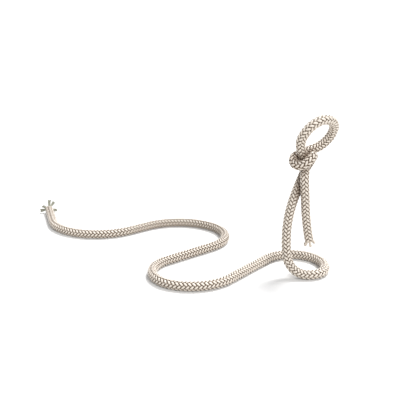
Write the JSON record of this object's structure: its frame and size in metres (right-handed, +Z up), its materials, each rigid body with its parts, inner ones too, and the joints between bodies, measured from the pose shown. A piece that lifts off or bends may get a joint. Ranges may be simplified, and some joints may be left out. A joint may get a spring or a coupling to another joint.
{
  "type": "bottle carrier",
  "caption": "Table-top carrier that looks like a rope standing by itself: a knotted collar on a climbing rope holds a bottle's neck over a snaking base.",
  "frame": {"origin": "on the table under the point where the riser leaves the base", "axes": "+Z is up, +X is the way a held neck points, seen from above; the snaking base runs out towards -X"},
  "size_m": [0.4382, 0.2036, 0.1841],
  "materials": {
    "braid": "glossy braided nylon, warm ivory",
    "core_yarn": "soft white yarn",
    "rod_steel": "bent round bar, plain",
    "cap_plastic": "soft vinyl cap, matt"
  },
  "bodies": {
    "root": {"core_rod": "rod_steel", "base_rod_cap": "cap_plastic", "collar_rod_cap": "cap_plastic", "tail_core": "core_yarn", "loop_sleeve": "braid", "bay_sleeve": "braid", "bend_sleeve": "braid", "end_sleeve": "braid", "riser_sleeve": "braid", "knot_sleeve": "braid", "collar_sleeve": "braid", "tail_sleeve": "braid", "end_tuft": "braid", "tail_tuft": "braid"}
  },
  "joints": []
}
